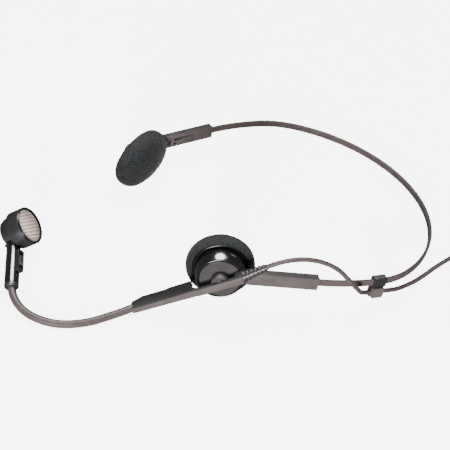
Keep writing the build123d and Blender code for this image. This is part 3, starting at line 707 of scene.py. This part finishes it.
# %% Gooseneck skin
SKINS = (
    ("boom_skin_1", "stem", "boom_2", stretches[0] + stretches[1][1:half + 1], ("boom_sleeve_1",)),
    ("boom_skin_2", "boom_2", "boom_3", stretches[1][half:] + stretches[2][1:half + 1],
     ("boom_sleeve_2",)),
    ("boom_skin_3", "boom_3", "mic", stretches[2][half:] + stretches[3][1:],
     ("boom_sleeve_3", "boom_sleeve_4")),
)
for name, before, after, line, replaced in SKINS:
    tube = sweep(name, line, circle(BOOM_R * MM, 32))
    dress(tube, None, "boom_sleeve", skin, *replaced)
    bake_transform(tube)
print("three skins over three bends")

# %% [markdown]
# ## Microphone
# The barrel is a polished stick with a small ribbed switch. The head is a short drum: a thin
# rolled ring in front, a pale woven mesh domed out of it, and a stepped collar behind. The mesh
# is the one pale thing on the headset, so the eye goes there first and it gets real relief.

# %% Barrel and switch
softened("barrel_shell", "mic", "gloss_plastic", polished, 0.18)
BARREL_L = -(MIC.inverted() @ boom[-1]).z
collar_outline = [(2.4, 0.06), (4.1, 0.06), *arc((4.1, -0.14), 0.22, 90, 0, 3), (4.22, -1.0),
                  (3.55, -1.72), (3.4, -1.8), (2.4, -1.8), (2.4, 0.06)]
end_collar = lathe("barrel_end", collar_outline, MIC @ shift(z=-BARREL_L), 64)
dress(end_collar, "mic", "gloss_plastic", satin, "barrel_collar")
softened("switch_frame", "mic", "switch_plastic", satin, 0.2)
softened("switch_slider", "switch", "switch_plastic", warm_satin, 0.12)
print("the barrel is", round(BARREL_L, 1), "mm long")

# %% Head drum and rings
HEAD_R, HEAD_REAR, HEAD_FRONT = 11.35, 2.3, 11.7
BORE_R, DRUM_END, FLOOR = HEAD_R - 1.1, HEAD_FRONT - 0.6, HEAD_REAR + 1.2
OPENING_R = 7.6
drum_outline = [
    (OPENING_R, HEAD_REAR), (HEAD_R - 0.5, HEAD_REAR),
    *arc((HEAD_R - 0.45, HEAD_REAR + 0.45), 0.45, -90, 0, 5), (HEAD_R, DRUM_END - 0.15),
    *arc((HEAD_R - 0.12, DRUM_END - 0.1), 0.1, 0, 90, 3), (BORE_R, DRUM_END), (BORE_R, FLOOR),
    (OPENING_R, FLOOR), (OPENING_R, HEAD_REAR),
]
drum = lathe("head_drum", drum_outline, CAPSULE, FINE_ROUND)
dress(drum, "mic", "gloss_plastic", satin, "head_shell")
RIM_R, RIM_BACK = HEAD_R - 1.3, HEAD_FRONT - 0.55
rim_outline = [
    (RIM_R, RIM_BACK), (HEAD_R - 0.1, RIM_BACK),
    *arc((HEAD_R - 0.42, HEAD_FRONT - 0.1), 0.42, -40, 130, 9),
    (HEAD_R - 1.2, HEAD_FRONT + 0.2), (HEAD_R - 1.35, HEAD_FRONT - 0.15), (RIM_R, RIM_BACK),
]
rim = lathe("head_rim", rim_outline, CAPSULE, FINE_ROUND)
dress(rim, "mic", "gloss_plastic", polished, "head_front_ring")
softened("head_rear_collar", "mic", "gloss_plastic", satin, 0.18)
print("head drum", round(2 * HEAD_R, 1), "mm across")

# %% [markdown]
# The grille's mesh is woven: heavy wires run across in rows, with fine ones between. The dome is
# a fine grid of points lifted by two waves, a broad one for the rows and a fine one for the
# weave. Its finish is a warm, pale paint with dark holes, and painted shade darkens the valleys
# between rows.


# %% Woven mesh finish
def woven_mesh(name, light, dark, hole_mm, place, rows_mm):
    """Wire with dark holes between, and painted shade in the valleys between its rows."""
    made = finish(name, light, tuple(c * 1.15 for c in light), (0.4, 0.6), 0.3, 0.03, shine=0.3)
    tree = made.node_tree
    spot = tree.nodes["Texture Coordinate"].outputs["Object"]
    cells = tree.nodes.new("ShaderNodeTexVoronoi")
    cells.inputs["Scale"].default_value = 1 / (hole_mm * MM)
    cells.inputs["Randomness"].default_value = 0.35
    tree.links.new(spot, cells.inputs["Vector"])
    holes = ramp(tree, cells.outputs["Distance"], (0.16, dark), (0.34, (1, 1, 1)))
    along = tree.nodes.new("ShaderNodeVectorMath")
    along.operation = "DOT_PRODUCT"
    over_rows = (place.to_3x3() @ ROW_STEP).normalized() * (math.pi / (rows_mm * MM))
    along.inputs[1].default_value = over_rows
    tree.links.new(spot, along.inputs[0])
    row = along.outputs["Value"]
    for operation, value in (("SUBTRACT", place.translation.dot(over_rows)), ("SINE", 0), ("ABSOLUTE", 0)):
        step = tree.nodes.new("ShaderNodeMath")
        step.operation = operation
        step.inputs[1].default_value = value
        tree.links.new(row, step.inputs[0])
        row = step.outputs["Value"]
    # Painted shade: the colour is darkened in the valleys between the rows.
    row_shade = ramp(tree, row, (0.1, ROW_SHADE), (0.6, (1, 1, 1)))
    woven = multiply(tree, multiply(tree, tree.nodes["Color Ramp"].outputs["Color"], holes), row_shade)
    tree.links.new(woven, tree.nodes["Principled BSDF"].inputs["Base Color"])
    return made


def ramp(tree, value, low, high):
    """Colour that runs from one (position, colour) to another."""
    colours = tree.nodes.new("ShaderNodeValToRGB")
    for element, (position, colour) in zip(colours.color_ramp.elements, (low, high)):
        element.position, element.color = position, (*colour, 1)
    tree.links.new(value, colours.inputs["Fac"])
    return colours.outputs["Color"]


def multiply(tree, a, b):
    """Product of two colours."""
    mix = tree.nodes.new("ShaderNodeMix")
    mix.data_type, mix.blend_type = "RGBA", "MULTIPLY"
    mix.inputs["Factor"].default_value = 1.0
    tree.links.new(a, mix.inputs["A"])
    tree.links.new(b, mix.inputs["B"])
    return mix.outputs["Result"]


# The second colour here is painted shade for the valleys between the grille's rows.
ROW_STEP, ROW_SHADE = Vector((0.82, 0.57, 0)).normalized(), (0.45, 0.38, 0.36)
ROWS_MM, REAR_ROWS_MM = 2.0, 1.5
REAR_CAPSULE = CAPSULE @ turned(180, "X")
pale_mesh = woven_mesh("pale_mesh", (0.8, 0.65, 0.6), (0.32, 0.26, 0.24), 0.5, CAPSULE, ROWS_MM)
dark_mesh = woven_mesh("dark_mesh", (0.09, 0.082, 0.08), (0.15, 0.15, 0.15), 0.6, REAR_CAPSULE,
                       REAR_ROWS_MM)
print("mesh finishes ready")


# %% Grilles
WIRE_STEP, EDGE_FADE = 0.9, 1.2           # millimetres


def mesh_dome(name, place, radius, height, base, rows_mm, row_lift, weave_lift):
    """Domed woven disc in rows, with a weave that is finer than the rows."""
    sphere_r = (radius ** 2 + height ** 2) / (2 * height)
    outline = [(0, base + height)]
    steps = 64
    for k in range(1, steps + 1):
        r = radius * k / steps
        outline.append((r, base + height - sphere_r + math.sqrt(sphere_r ** 2 - r ** 2)))
    outline += [(radius, base - 0.4), (0, base - 0.4)]
    disc = lathe(name, outline, Matrix.Identity(4), 180)
    for vertex in disc.data.vertices:
        x, y, z = vertex.co
        r = math.hypot(x, y)
        if z < base - 0.2:
            continue
        fade = min(1.0, max(0.0, (radius - r) / EDGE_FADE))
        row = abs(math.sin(math.pi * (x * ROW_STEP.x + y * ROW_STEP.y) / rows_mm))
        weave = math.sin(2 * math.pi * x / WIRE_STEP) * math.sin(2 * math.pi * y / WIRE_STEP)
        vertex.co.z += fade * (row_lift * (row - 0.6) + weave_lift * weave)
    disc.data.transform(place)
    return disc


GRILLE_R, GRILLE_DOME = HEAD_R - 1.35, 2.75
REAR_GRILLE_R, REAR_GRILLE_DOME, REAR_GRILLE_AT = 7.25, 1.45, 3.5
WEAVE_LIFT = 0.05
front = mesh_dome("front_mesh", CAPSULE, GRILLE_R, GRILLE_DOME, HEAD_FRONT - 0.75, ROWS_MM, 0.45, WEAVE_LIFT)
dress(front, "mic", "grille_mesh", pale_mesh, "front_grille")
rear = mesh_dome("rear_mesh", REAR_CAPSULE, REAR_GRILLE_R, REAR_GRILLE_DOME, REAR_GRILLE_AT, REAR_ROWS_MM,
                 0.3, WEAVE_LIFT)
dress(rear, "mic", "grille_mesh", dark_mesh, "rear_grille")
print("grilles:", len(front.data.vertices), "and", len(rear.data.vertices), "vertices")

# %% [markdown]
# ## Clip, plug and inner pieces
# What is left has its right form in the CAD. The clip gets softened copies. The plug, the tie
# and the hidden metalwork keep their CAD meshes, which are fine enough, and get real finishes.

# %% Clip
softened("clip_body", "headband", "clip_plastic", satin, 0.35)
softened("clip_gate", "headband", "clip_plastic", warm_satin, 0.4)
print("clip softened")

# %% Finishes of the CAD nodes that stay
KEPT = {
    boot_rubber: ("plug_boot",),
    black_plate: ("plug_shell", "plug_lock_ring"),
    gold: ("plug_sleeve_contact", "plug_tip_contact"),
    tie_cloth: ("coil_tie",),
    bright_steel: ("band_spring", "slide_friction_spring", "pivot_clip", "pivot_wave_washer"),
    turned_steel: ("band_clamps", "arm_screws", "cup_screws", "pivot_shaft", "capsule_magnet",
                   "boom_core_1", "boom_core_2", "boom_core_3", "boom_core_4"),
    satin: ("right_pad_plate", "left_pad_plate", "cup_base"),
    board_green: ("stem_terminal_board",),
    film: ("capsule_diaphragm",),
    foam_skin: ("head_foam_discs",),
}
for material, names in KEPT.items():
    for name in names:
        mesh = nodes[name].data
        mesh.materials.clear()
        mesh.materials.append(material)
        mesh.shade_smooth()
        mesh.set_sharp_from_angle(angle=SHARP)
print("kept CAD nodes:", sum(len(names) for names in KEPT.values()))

# %% [markdown]
# ## Table and light
# A white table that glows, so that it stays clean, in a dim room. Neither soft light nor
# reflections come back from the table, because a glowing table would wash out every thin round
# edge. The main lamp is low and in front, so outward faces are lighter than the tops. The shine
# box is only for gloss: it draws the bright spot on the cup and the long stripe on the barrel.


# %% Table
TABLE_GLOW = 6.0


def table_finish():
    """White, matt and glowing."""
    made = bpy.data.materials.new("pale_table")
    made.use_nodes = True
    shader = made.node_tree.nodes["Principled BSDF"]
    shader.inputs["Base Color"].default_value = (0.9, 0.9, 0.9, 1)
    shader.inputs["Roughness"].default_value = 0.6
    shader.inputs["Emission Color"].default_value = (1, 1, 1, 1)
    shader.inputs["Emission Strength"].default_value = TABLE_GLOW
    return made


table = add_mesh("table", [(-4, -4, 0), (4, -4, 0), (4, 4, 0), (-4, 4, 0)], [(0, 1, 2, 3)])
table.data.materials.append(table_finish())
table.visible_diffuse = table.visible_glossy = False
print("table ready")


# %% Lights
def soft_light(name, where, target, size, power):
    """Round area lamp of a given width in metres and power in watts, turned to a target."""
    light = bpy.data.lights.new(name, "AREA")
    light.shape, light.size, light.energy = "DISK", size, power
    lamp = bpy.data.objects.new(name, light)
    bpy.context.scene.collection.objects.link(lamp)
    lamp.location = where
    lamp.rotation_euler = (Vector(target) - Vector(where)).to_track_quat("-Z", "Y").to_euler()
    return lamp


soft_light("overhead", (-0.15, 0.24, 1.07), (0, 0, 0), 0.4, 4.5)
soft_light("front_low", (1.2, -0.75, 0.2), (0, 0, 0), 0.6, 48)
soft_light("rim", (-0.6, 0.9, 0.5), (0, 0, 0), 0.5, 2)
shine_box = soft_light("shine_box", (-0.36, 0.0, 1.0), (0, -0.1, 0), 0.62, 70)
shine_box.visible_diffuse = False
world = bpy.data.worlds.new("studio")
world.use_nodes = True
world.node_tree.nodes["Background"].inputs["Color"].default_value = (1, 1, 1, 1)
world.node_tree.nodes["Background"].inputs["Strength"].default_value = 0.22
bpy.context.scene.world = world

# %% [markdown]
# ## End
# The finished looks must stay in the CAD's box; nothing here measures them.

# %% Finish
print("finished")
